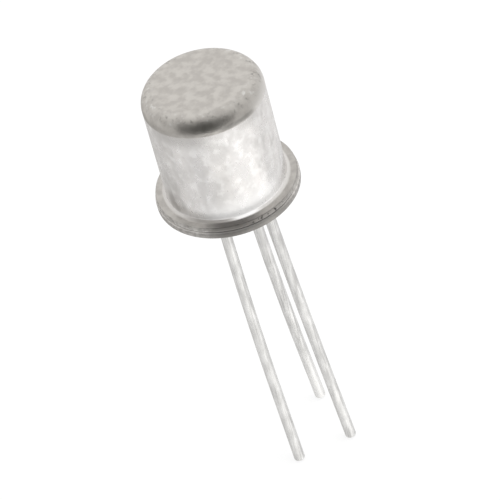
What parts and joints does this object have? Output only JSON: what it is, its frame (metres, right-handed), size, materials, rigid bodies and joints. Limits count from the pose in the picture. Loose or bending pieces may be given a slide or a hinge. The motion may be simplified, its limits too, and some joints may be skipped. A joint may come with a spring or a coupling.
{
  "type": "pnp transistor",
  "caption": "Small-signal transistor in a sealed cylindrical metal can with a welded flange, a locating tab and splayed wire leads below a glass seal.",
  "frame": {"origin": "centre of the seating plane, which is the underside of the header's flange, on the can's axis", "axes": "+Z along the can's axis towards its closed top; the leads run down past -Z; +Y towards the emitter lead, +X towards the base lead, -Y towards the collector lead, the locating tab between +Y and -X"},
  "size_m": [0.0056, 0.0056, 0.0184],
  "materials": {
    "nickel_can": "satin nickel plate, the top a mottled matt",
    "plated_header": "satin plated iron-nickel-cobalt alloy",
    "seal_glass": "dark grey-green sealing glass",
    "tinned_lead": "bright tin over drawn wire",
    "gold": "soft bright gold",
    "silicon": "polished dark grey silicon"
  },
  "bodies": {
    "root": {"can": "nickel_can", "header_shell": "plated_header", "glass_seal": "seal_glass", "emitter_lead": "tinned_lead", "base_lead": "tinned_lead", "collector_lead": "tinned_lead", "die_preform": "gold", "silicon_die": "silicon", "emitter_bond_wire": "gold", "base_bond_wire": "gold"}
  },
  "joints": []
}
